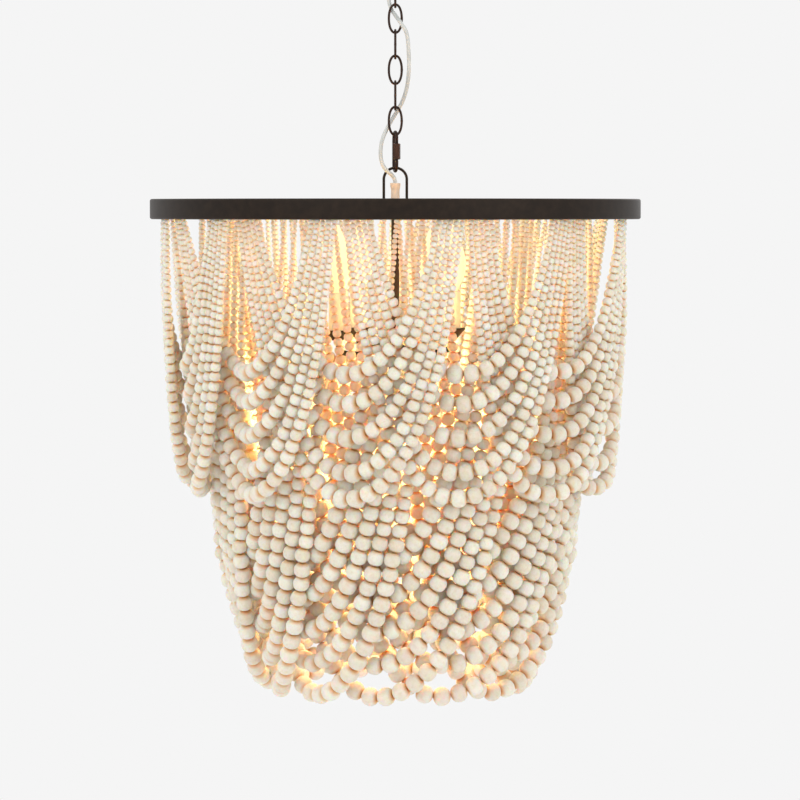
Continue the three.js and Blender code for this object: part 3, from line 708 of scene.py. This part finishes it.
def frame_metal():
    body = "fixture"
    radius, wire = (BAIL["width"] - BAIL["wire"]) / 2, BAIL["wire"]
    arch = BAIL_HIGH.z - BAIL["width"] / 2
    turn = np.linspace(0, math.pi, 33)
    over = np.stack([radius * np.cos(turn), 0 * turn, arch + radius * np.sin(turn)], 1)
    leg = np.array([[radius, 0, z] for z in np.linspace(HUB_BOTTOM, arch, 9)[:-1]])
    path = np.concatenate([leg, over, leg[::-1] * (-1, 1, 1)])
    shells = [tube(path, wire / 2, 20)]
    foot, foot_top = wire * 0.95, HUB_TOP + wire / 2
    washer = [(0, HUB_TOP, 0), (foot, HUB_TOP, 0), (foot, foot_top, 0.0006), (0, foot_top, 0)]
    for x in (-radius, radius):
        shells.append(turned(lathe(rounded(washer), 32, closed=False), 0, (x, 0, 0)))
    piece("bail", shells, [DARK_BRONZE], body, ["frame_bail"])

    reach = BAND["radius"] - BAND["thickness"] - GAP
    start = LOWER["first_angle"]
    shells = [
        turned(bar(2 * reach, ARMS["width"], HUB_BOTTOM, HUB_TOP, ARMS["edge"]), start + 90 * i)
        for i in range(2)
    ]
    edge = ARMS["edge"]
    lift = 0.0004
    hub = [(STEM["radius"] + GAP, HUB_BOTTOM - lift, 0), (ARMS["hub"], HUB_BOTTOM - lift, edge)]
    hub += [(ARMS["hub"], HUB_TOP + lift, edge), (STEM["radius"] + GAP, HUB_TOP + lift, 0)]
    shells.append(lathe(rounded(hub), 96))
    piece("arms", shells, [BLACKENED], body, ["frame_arms"])

    inner, corner = BAND["radius"] - BAND["thickness"], BAND["corner"]
    low, high = BAND_LOW.z, BAND_HIGH.z
    band = [(inner, low, 0.0006), (BAND["radius"], low, corner)]
    band += [(BAND["radius"], high, corner), (inner, high, 0.0006)]
    shells = [lathe(rounded(band, 6), 256), rail_ring(UPPER)]
    outer = UPPER["rail_radius"] + RAIL["width"] / 2
    bridge = inner - outer + 2 * RAIL["edge"]
    for i in range(SWAGS):
        tab = bar(TAB_WIDTH, bridge, RAIL_BOTTOM, RAIL_BOTTOM + RAIL["thickness"], RAIL["edge"])
        centre = (0, -(inner + outer) / 2, 0)
        shells.append(turned(tab, UPPER["first_angle"] + 360 * (i + 0.5) / SWAGS, centre))
    piece("ring", shells, [DARK_BRONZE], body, ["outer_ring"])

    shells = [rail_ring(LOWER)]
    post_bottom = RAIL_BOTTOM + RAIL["thickness"] - RAIL["edge"]
    post = bar(ARMS["width"], RAIL["width"] / 2, post_bottom, HUB_BOTTOM - GAP, RAIL["edge"])
    for i in range(ARMS["count"]):
        shells.append(turned(post, start + 360 * i / ARMS["count"], (0, -LOWER["rail_radius"], 0)))
    piece("second_ring", shells, [BLACKENED], body, ["inner_ring"])

    bore, r, flare = CORD_RADIUS + 0.0004, 0.0055, 0.0064
    outline = rounded(
        [
            (bore, GRIP_BOTTOM, 0),
            (0.007, GRIP_BOTTOM, 0.0008),
            (0.007, GRIP_BOTTOM + 0.004, 0.0008),
            (r, GRIP_BOTTOM + 0.0045, 0.0006),
            (r * 0.96, GRIP_TOP - 0.009, 0.002),
            (flare, GRIP_TOP - 0.003, 0.0015),
            (flare, GRIP_TOP, 0.0008),
            (bore, GRIP_TOP, 0),
        ]
    )
    piece("cord_gland", [lathe(outline, 48)], [GRIP_PLASTIC], body, ["cord_grip"])


def rail_ring(tier):
    outer, edge = tier["rail_radius"] + RAIL["width"] / 2, RAIL["edge"]
    inner, low, high = outer - RAIL["width"], RAIL_BOTTOM, RAIL_BOTTOM + RAIL["thickness"]
    outline = [(inner, low, edge), (outer, low, edge), (outer, high, edge), (inner, high, edge)]
    return lathe(rounded(outline), 192)


# Bead strands


def catenary_scale(half_width, drop):
    """The scale of the curve that hangs by drop between ends half_width to each side."""
    low, high = half_width / 100, half_width * 100
    for _ in range(60):
        middle = math.sqrt(low * high)
        if middle * math.acosh(1 + drop / middle) < half_width:
            low = middle
        else:
            high = middle
    return low


STRAND_TOP = RAIL_BOTTOM - GAP - CLIP["wall"] + CLIP["bite"]


def strand_line(tier, half_span, drop, count=401):
    """A strand's middle line, and the lengths along it from its lowest point."""
    half_span = math.radians(half_span)
    chord = tier["rail_radius"] * math.cos(half_span)
    half_width = tier["rail_radius"] * math.sin(half_span)
    scale = catenary_scale(half_width, drop)
    half_length = scale * math.sinh(half_width / scale)
    x = scale * np.arcsinh(np.linspace(-half_length, half_length, count) / scale)
    rise = scale * (np.cosh(x / scale) - 1) / drop
    angle = np.arctan2(x, chord)
    swing = np.clip(angle / math.radians(tier["reach"]), -1, 1)
    lean = tier["below"] + (tier["at_rail"] - tier["below"]) * rise**2
    radius = np.hypot(x, chord) + lean * np.sin(swing * math.pi / 2)
    line = around(radius, angle, STRAND_TOP - drop * (1 - rise))
    steps = np.linalg.norm(np.diff(line, axis=0), axis=1)
    along = np.concatenate([[0], np.cumsum(steps)])
    return line, along - along[count // 2]


SIZE_SPREAD = 0.03
TOP_CLEARANCE = 0.0012
THREAD_SLACK = 0.0001
BEAD_LENGTH = 0.92


def string_beads(tier, half_span, drop):
    """The beads of one strand: their places and diameters, from its left end to its right end."""
    line, along = strand_line(tier, half_span, drop)
    reach = along[-1]

    def size(at):
        share = min(abs(at) / reach, 1)
        fall, rise = tier["growth"]
        grown = tier["small"] + (tier["large"] - tier["small"]) * (1 - share**fall) ** rise
        return grown * (1 + SIZE_SPREAD * rng.uniform(-1, 1))

    first = size(0)
    start = rng.uniform(-0.5, 0.5) * first
    sides = []
    for side in (-1, 1):
        at, diameter, row = start, first, []
        while True:
            following = size(at + side * diameter)
            at += side * (BEAD_LENGTH * (diameter + following) / 2 + THREAD_SLACK)
            if abs(at) + following / 2 > reach - TOP_CLEARANCE:
                break
            row.append((at, following))
            diameter = following
        sides.append(row)
    row = [*reversed(sides[0]), (start, first), *sides[1]]
    ats, diameters = np.array(row).T
    places = np.stack([np.interp(ats, along, line[:, k]) for k in range(3)], 1)
    return places, diameters, line[0], line[-1]


# How the beads settle: the rounds, the rounds between two searches for neighbours and how
# far these look, how far a bead may stray, and how strongly it is pushed and drawn home
ROUNDS = 48
SEARCH_ROUNDS = 12
SEARCH_MARGIN = 0.003
SETTLE_LIMIT = 0.009
SETTLE_SHARE = 0.9
PUSH = 1.6
HOME_PULL = 0.05
JITTER = 0.0016
TINY = 1e-9
SLIGHT = 1e-7


def settle(places, radii, ends, links):
    """Pushes beads that lie in each other apart, along strings that keep their length."""
    home = places.copy()
    moved = home + rng.normal(0, JITTER, home.shape) * (~ends)[:, None]
    a, b = links
    rest = BEAD_LENGTH * (radii[a] + radii[b]) + THREAD_SLACK
    free = (~ends).astype(float)
    limit = np.minimum(SETTLE_LIMIT, radii * SETTLE_SHARE)
    for number in range(ROUNDS):
        if number % SEARCH_ROUNDS == 0:
            tree = kdtree.KDTree(len(moved))
            for i, point in enumerate(moved):
                tree.insert(point, i)
            tree.balance()
            pairs = []
            for i, point in enumerate(moved):
                found = tree.find_range(point, radii[i] + radii.max() + SEARCH_MARGIN)
                pairs += [(i, j) for _, j, _ in found if j > i + 1]
            p, q = np.array(pairs).T
        touching = (p, q, radii[p] + radii[q], True)
        strung = (a, b, rest, False)
        for first, second, wanted, only_push in (touching, strung):
            apart = moved[second] - moved[first]
            distance = np.linalg.norm(apart, axis=1) + TINY
            lack = wanted - distance
            if only_push:
                lack = np.maximum(lack, 0)
            total = free[first] + free[second] + TINY
            push = apart / distance[:, None] * (lack / total * 0.5)[:, None]
            shift = np.zeros_like(moved)
            for k in range(3):
                shift[:, k] -= np.bincount(first, push[:, k] * free[first], len(moved))
                shift[:, k] += np.bincount(second, push[:, k] * free[second], len(moved))
            pushed = (np.abs(lack) > SLIGHT).astype(float)
            hits = sum(np.bincount(ends_of, pushed, len(moved)) for ends_of in (first, second))
            moved += shift * (2 / np.maximum(hits, 2))[:, None] * PUSH
        moved += HOME_PULL * (home - moved)
        strayed = moved - home
        length = np.linalg.norm(strayed, axis=1) + TINY
        moved = home + strayed * np.minimum(1, limit / length)[:, None]
    return moved


def bead_template(rings, sides):
    """A drilled bead of radius 1, a little squared off, its hole along Z: its points and faces."""
    hole, sunk, squareness = 0.13, 0.8, 0.88
    polar = np.linspace(math.asin(hole), math.pi - math.asin(hole), rings)
    profile = [(hole * 0.9, sunk * BEAD_LENGTH)]
    for t in polar:
        up = math.copysign(abs(math.cos(t)) ** squareness, math.cos(t))
        profile.append((math.sin(t) ** squareness, BEAD_LENGTH * up))
    profile += [(hole * 0.9, -sunk * BEAD_LENGTH)]
    angles = np.linspace(0, 2 * math.pi, sides, endpoint=False)
    points = np.array([(r * math.cos(t), r * math.sin(t), z) for r, z in profile for t in angles])
    faces = []
    for i in range(len(profile) - 1):
        for j in range(sides):
            k = (j + 1) % sides
            faces.append((i * sides + k, i * sides + j, (i + 1) * sides + j, (i + 1) * sides + k))
    return points, np.array(faces)


SMALL_TEMPLATE = bead_template(7, 10)
LARGE_TEMPLATE = bead_template(9, 16)
LARGE_FROM = 0.0115


def bead_shells(places, diameters, axes):
    """Points, faces, tones, ends and grain places of many beads, each turned to its axis."""
    out = []
    start = 0
    for large in (False, True):
        chosen = (diameters >= LARGE_FROM) == large
        template, faces = LARGE_TEMPLATE if large else SMALL_TEMPLATE
        count, size = int(chosen.sum()), len(template)
        if not count:
            continue
        z = axes[chosen]
        wild = rng.normal(size=z.shape)
        x = np.cross(wild, z)
        x /= np.linalg.norm(x, axis=1)[:, None]
        y = np.cross(z, x)
        turn = np.stack([x, y, z], 1)
        scale = (diameters[chosen] / 2)[:, None, None]
        oval = 1 + rng.normal(0, 0.012, (count, 3))
        local = template[None] * oval[:, None]
        points = np.einsum("bpk,bkj->bpj", local, turn) * scale + places[chosen][:, None]
        tone = np.repeat(rng.uniform(0, 1, count), size)
        end = np.tile(np.abs(template[:, 2]) / BEAD_LENGTH, count)
        grain = template[None] * scale / LARGE_FROM * 2 + rng.uniform(0, 50, (count, 1, 3))
        all_faces = faces[None] + (start + np.arange(count) * size)[:, None, None]
        shapes = (points.reshape(-1, 3), all_faces.reshape(-1, 4))
        out.append((*shapes, tone, end, grain.reshape(-1, 3)))
        start += count * size
    return [np.concatenate(part) for part in zip(*out)]


def bead_piece(name, strands, node):
    """The beads of several strands as one piece."""
    axes = [np.gradient(s["places"], axis=0) for s in strands]
    axes = np.concatenate([v / np.linalg.norm(v, axis=1)[:, None] for v in axes])
    places = np.concatenate([s["places"] for s in strands])
    diameters = np.concatenate([s["diameters"] for s in strands])
    points, faces, tone, end, grain = bead_shells(places, diameters, axes)
    mesh = bpy.data.meshes.new(name)
    mesh.vertices.add(len(points))
    mesh.vertices.foreach_set("co", points.astype(np.float32).ravel())
    mesh.loops.add(faces.size)
    mesh.loops.foreach_set("vertex_index", faces.astype(np.int32).ravel())
    mesh.polygons.add(len(faces))
    mesh.polygons.foreach_set("loop_start", np.arange(0, faces.size, 4, dtype=np.int32))
    mesh.polygons.foreach_set("use_smooth", np.ones(len(faces), bool))
    mesh.update(calc_edges=True)
    for label, kind, field, values in (
        ("tone", "FLOAT", "value", tone),
        ("end", "FLOAT", "value", end),
        ("grain", "FLOAT_VECTOR", "vector", grain),
    ):
        data = mesh.attributes.new(label, kind, "POINT").data
        data.foreach_set(field, values.astype(np.float32).ravel())
    mesh.materials.append(BEAD_WOOD)
    obj = bpy.data.objects.new(name, mesh)
    scene.collection.objects.link(obj)
    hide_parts(node)
    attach(obj, "fixture")


def all_strands():
    """Every strand of both tiers, with its beads strung and then settled against the others."""
    strands = []
    for tier in (UPPER, LOWER):
        for swag in range(SWAGS):
            angle = tier["first_angle"] + 360 * swag / SWAGS
            for half_span, drop in zip(tier["half_spans"], tier["drops"]):
                places, diameters, left, right = string_beads(tier, half_span, drop)
                strands.append(
                    {
                        "tier": tier,
                        "swag": swag,
                        "places": turned_points(places, angle),
                        "diameters": diameters,
                        "ends": turned_points(np.array([left, right]), angle),
                    }
                )
    counts = [len(s["diameters"]) for s in strands]
    starts = np.concatenate([[0], np.cumsum(counts)])
    places = np.concatenate([s["places"] for s in strands])
    radii = np.concatenate([s["diameters"] for s in strands]) / 2
    ends = np.zeros(len(radii), bool)
    ends[starts[:-1]] = True
    ends[starts[1:] - 1] = True
    a = np.concatenate([np.arange(s, e - 1) for s, e in zip(starts, starts[1:])])
    moved = settle(places, radii, ends, (a, a + 1))
    for strand, first, last in zip(strands, starts, starts[1:]):
        strand["places"] = moved[first:last]
    return strands


THREAD_RADIUS = 0.0005
KNOT_RADIUS = 0.0013


def end_loop(tier, top, outward):
    """The thread's way from a strand's end up round the rail's edge, with its crimp on top."""
    radius = math.hypot(top[0], top[1])
    angle = math.atan2(top[0], -top[1])
    edge = tier["rail_radius"] + outward * RAIL["width"] / 2
    skin = 0.0008
    rail_top = RAIL_BOTTOM + RAIL["thickness"]
    route = [
        (radius, top[2]),
        (edge + outward * skin, RAIL_BOTTOM - skin),
        (edge + outward * skin * 1.4, (RAIL_BOTTOM + rail_top) / 2),
        (edge + outward * skin, rail_top + skin),
        (edge - outward * CLIP["lip"], rail_top + skin),
    ]
    path = np.array([around(r, np.float64(angle), z) for r, z in route])
    return smooth_line(path, 3), path[-1]


def ball(centre, radius, rings=5, sides=8):
    polar = np.linspace(0, math.pi, rings)
    outline = [(radius * math.sin(t), -radius * math.cos(t)) for t in polar]
    outline[0], outline[-1] = (0, -radius), (0, radius)
    points, faces = lathe(outline, sides, closed=False)
    return points + centre, faces


def beads():
    strands = all_strands()
    for tier in (UPPER, LOWER):
        threads = []
        for swag in range(SWAGS):
            mine = [s for s in strands if s["tier"] is tier and s["swag"] == swag]
            node = f"{tier['name']}_swag_{swag + 1}"
            bead_piece(f"{tier['name']}_beads_{swag + 1}", mine, node)
            for strand in mine:
                left, left_end = end_loop(tier, strand["ends"][0], -1)
                right, right_end = end_loop(tier, strand["ends"][1], 1)
                path = np.concatenate([left[::-1], strand["places"], right])
                threads.append(tube(path, THREAD_RADIUS, 5))
                threads += [ball(end, KNOT_RADIUS) for end in (left_end, right_end)]
        piece(f"{tier['name']}_threads", threads, [THREAD], "fixture")


# Lamps

# The warm lights inside: one in each lamp, and some on the axis below them. Each of those has
# its share of the way from the bulbs' foot down to the lowest solid, and its watts.
GLOW_COLOUR = (1.0, 0.6, 0.26)
LAMP_RADIUS = 0.022
LAMP_WATTS = 0.7
AXIS_RADIUS = 0.06
AXIS_GLOWS = ((0.18, 2.0), (0.36, 4.0), (0.54, 0.6))


def lamps():
    body = "fixture"
    low, high = (corner.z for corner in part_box("stem_tube"))
    bore, radius = STEM["bore"], STEM["radius"]
    walls = [(bore, low), (radius, low), (radius, high), (bore, high)]
    piece("stem", [lathe(walls, 48)], [BLACKENED], body, ["stem_tube"])
    nut_piece("hub_nut", "stem_nut", STEM["radius"] + GAP, body)

    base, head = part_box("cluster_body")
    r, neck, pin = head.y, 0.008, 0.0033
    rise = 0.008
    outline = [
        (pin, base.z, 0),
        (neck, base.z, 0.001),
        (neck + 0.001, base.z + rise * 0.35, 0.002),
        (r, base.z + rise, 0.003),
        (r, head.z - rise, 0.003),
        (neck + 0.001, head.z - rise * 0.35, 0.002),
        (neck, head.z, 0.001),
        (pin, head.z, 0),
    ]
    shell = lathe(rounded(outline), 96)
    piece("cluster", [shell], [BLACKENED], body, ["cluster_body"])

    low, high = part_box("bottom_finial")
    top = base.z - GAP
    height = top - low.z
    shares = [(0.0, 1.0), (0.32, 0.985), (0.62, 0.9), (0.62, 0.82), (0.98, 0.66), (1.0, 0.56)]
    shares += [(0.8, 0.42), (0.5, 0.3), (0.45, 0.22), (0.7, 0.12), (1.0, 0.06), (1.0, 0.0)]
    outline = [(r * high.x, top - z * height) for r, z in shares]
    outline += [(0.003, top), (0.003, high.z), (0, high.z)]
    shell = lathe(outline, 64, closed=False)
    piece("finial", [shell], [BLACKENED], body, ["bottom_finial"])

    middle = (base.z + head.z) / 2
    start, sag, reach = head.y, LAMP["sag"], LAMP["reach"]
    cup_z = middle + sag
    route = [
        (0, -start + 0.001, middle),
        (0, -start - sag, middle),
        (0, -(start + reach) / 2, middle - sag),
        (0, -reach + sag / 2, middle - sag / 2),
        (0, -reach, cup_z),
    ]
    arm = tube(smooth_line(route, 10), LAMP["arm"], 20)
    wall, foot = CUP["wall"], CUP["foot"]
    dish = rounded(
        [
            (0, cup_z - 0.0006, 0),
            (foot, cup_z - 0.0006, 0.001),
            (foot + 0.002, cup_z + 0.002, 0.001),
            (CUP["radius"], cup_z + CUP["height"] - 0.001, 0.001),
            (CUP["radius"], cup_z + CUP["height"], 0.0004),
            (CUP["radius"] - wall, cup_z + CUP["height"], 0.0006),
            (foot - wall, cup_z + wall, 0.0008),
            (0, cup_z + wall, 0),
        ]
    )
    cup = turned(lathe(dish, 64, closed=False), 0, (0, -reach, 0))
    sleeve_low, sleeve_high = (corner.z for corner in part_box("candle_sleeve_1"))
    bulb_low, bulb_high = (corner.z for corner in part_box("lamp_bulb_1"))
    bore = BULB["cap"] + GAP
    edge = 0.0006
    sleeve = rounded(
        [
            (0, sleeve_low, 0),
            (foot - wall - GAP, sleeve_low, edge),
            (CANDLE["radius"], sleeve_low + CANDLE["foot"], edge),
            (CANDLE["radius"], sleeve_high, edge),
            (bore, sleeve_high, edge / 2),
            (bore, sleeve_high - BULB["cap_length"], 0),
            (0, sleeve_high - BULB["cap_length"], 0),
        ]
    )
    candle = turned(lathe(sleeve, 48, closed=False), 0, (0, -reach, 0))
    glass_low = sleeve_high + GAP
    ridge = 0.0004
    cap = [(0, bulb_low), (BULB["cap"] * 0.5, bulb_low)]
    cap += [(BULB["cap"] - ridge * (k % 2), bulb_low + 0.002 + 0.0011 * k) for k in range(16)]
    cap += [(BULB["cap"], glass_low), (0, glass_low)]
    cap = turned(lathe(cap, 32, closed=False), 0, (0, -reach, 0))
    shares = [(0.36, 0.0), (0.5, 0.06), (0.86, 0.22), (1, 0.38)]
    shares += [(0.84, 0.6), (0.42, 0.84), (0.1, 0.98), (0, 1)]
    route = [(r * BULB["radius"], 0, glass_low + z * BULB["length"]) for r, z in shares]
    curve = smooth_line(route, 5)
    glass = [(0, glass_low), *[(max(x, 0.0001), z) for x, _, z in curve[:-1]], (0, bulb_high)]
    glass = turned(lathe(glass, 48, closed=False), 0, (0, -reach, 0))
    for i in range(LAMP["count"]):
        angle = LAMP["first_angle"] + 360 * i / LAMP["count"]
        number = i + 1
        shells = [turned(arm, angle), turned(cup, angle)]
        node = f"lamp_arm_{number}"
        piece(f"arm_and_cup_{number}", shells, [BLACKENED], body, [node])
        node = f"candle_sleeve_{number}"
        piece(f"candle_{number}", [turned(candle, angle)], [CANDLE_WAX], body, [node])
        shells = [turned(glass, angle), turned(cap, angle)]
        node = f"lamp_bulb_{number}"
        lamp = piece(f"lamp_{number}", shells, [LIT_GLASS, BRASS], body, [node])
        middle = around(reach, np.radians(angle), (glass_low + bulb_high) / 2)
        point_light(f"glow_{number}", middle, LAMP_RADIUS, LAMP_WATTS, lamp)
    # The last lamp carries these too, as any piece of the fixture could.
    for number, (share, watts) in enumerate(AXIS_GLOWS, 1):
        z = bulb_low + (cad_box[0].z - bulb_low) * share
        point_light(f"glow_below_{number}", (0, 0, z), AXIS_RADIUS, watts, lamp)


# Stage and light

BACKGROUND = srgb(245, 245, 245)
WORLD_STRENGTH = 0.92
FLOOR_Z = -3.0
FLOOR_RADIUS = 4.0
# Name, place, side and watts of each square light
AREA_LIGHTS = (
    ("key", (-2.2, -3.2, 1.2), 2.4, 32),
    ("fill", (2.8, -2.8, 0.3), 2.6, 26),
    ("back", (0.5, 3.4, 0.8), 2.6, 22),
)


def seen_or(tree, seen, lit):
    """One shader where the camera, gloss or glass looks, and the other for light."""
    path = add(tree, "ShaderNodeLightPath")
    rays = ["Is Camera Ray", "Is Glossy Ray", "Is Transmission Ray"]
    factor = path.outputs[rays[0]]
    for ray in rays[1:]:
        either = {0: factor, 1: path.outputs[ray]}
        factor = add(tree, "ShaderNodeMath", either, operation="MAXIMUM").outputs[0]
    return add(tree, "ShaderNodeMixShader", {0: factor, 1: lit, 2: seen}).outputs[0]


def surroundings():
    world = bpy.data.worlds.new("surroundings")
    scene.world = world
    world.use_nodes = True
    tree = world.node_tree
    tree.nodes.clear()
    seen = add(tree, "ShaderNodeBackground", {"Color": BACKGROUND, "Strength": 1.0}).outputs[0]
    white = {"Color": (1, 1, 1, 1), "Strength": WORLD_STRENGTH}
    lit = add(tree, "ShaderNodeBackground", white).outputs[0]
    add(tree, "ShaderNodeOutputWorld", {"Surface": seen_or(tree, seen, lit)})

    floor_shell = lathe([(0, FLOOR_Z), (FLOOR_RADIUS, FLOOR_Z)], 96, closed=False)
    mesh = bpy.data.meshes.new("floor")
    mesh.from_pydata(floor_shell[0].tolist(), [], floor_shell[1])
    material, tree, shader = look("floor", 0.9)
    two_tone(tree, shader, 2.0, srgb(243, 243, 243), srgb(246, 246, 246))
    mesh.materials.append(material)
    floor = bpy.data.objects.new("floor", mesh)
    scene.collection.objects.link(floor)


def area_light(name, location, size, watts):
    """A square white light that looks at the middle of the shade."""
    data = bpy.data.lights.new(name, "AREA")
    data.shape = "SQUARE"
    data.size = size
    data.energy = watts
    obj = bpy.data.objects.new(name, data)
    target = Vector((0, 0, (BAND_LOW.z + cad_box[0].z) / 2))
    obj.location = location
    obj.rotation_euler = (target - Vector(location)).to_track_quat("-Z", "Y").to_euler()
    scene.collection.objects.link(obj)


def point_light(name, location, radius, watts, carrier):
    """A warm light inside the shade, which moves with the piece that carries it."""
    data = bpy.data.lights.new(name, "POINT")
    data.energy = watts
    data.color = GLOW_COLOUR
    data.shadow_soft_size = radius
    obj = bpy.data.objects.new(name, data)
    obj.visible_camera = False
    obj.visible_glossy = False
    scene.collection.objects.link(obj)
    bpy.context.view_layer.update()
    obj.parent = carrier
    obj.matrix_parent_inverse = carrier.matrix_world.inverted()
    obj.location = location


scene.view_settings.view_transform = "Standard"
camera()
supply_cord()
ceiling_set()
for link in range(CHAIN["links"]):
    chain_link(link + 1)
quick_link()
frame_metal()
beads()
lamps()
surroundings()
for light in AREA_LIGHTS:
    area_light(*light)
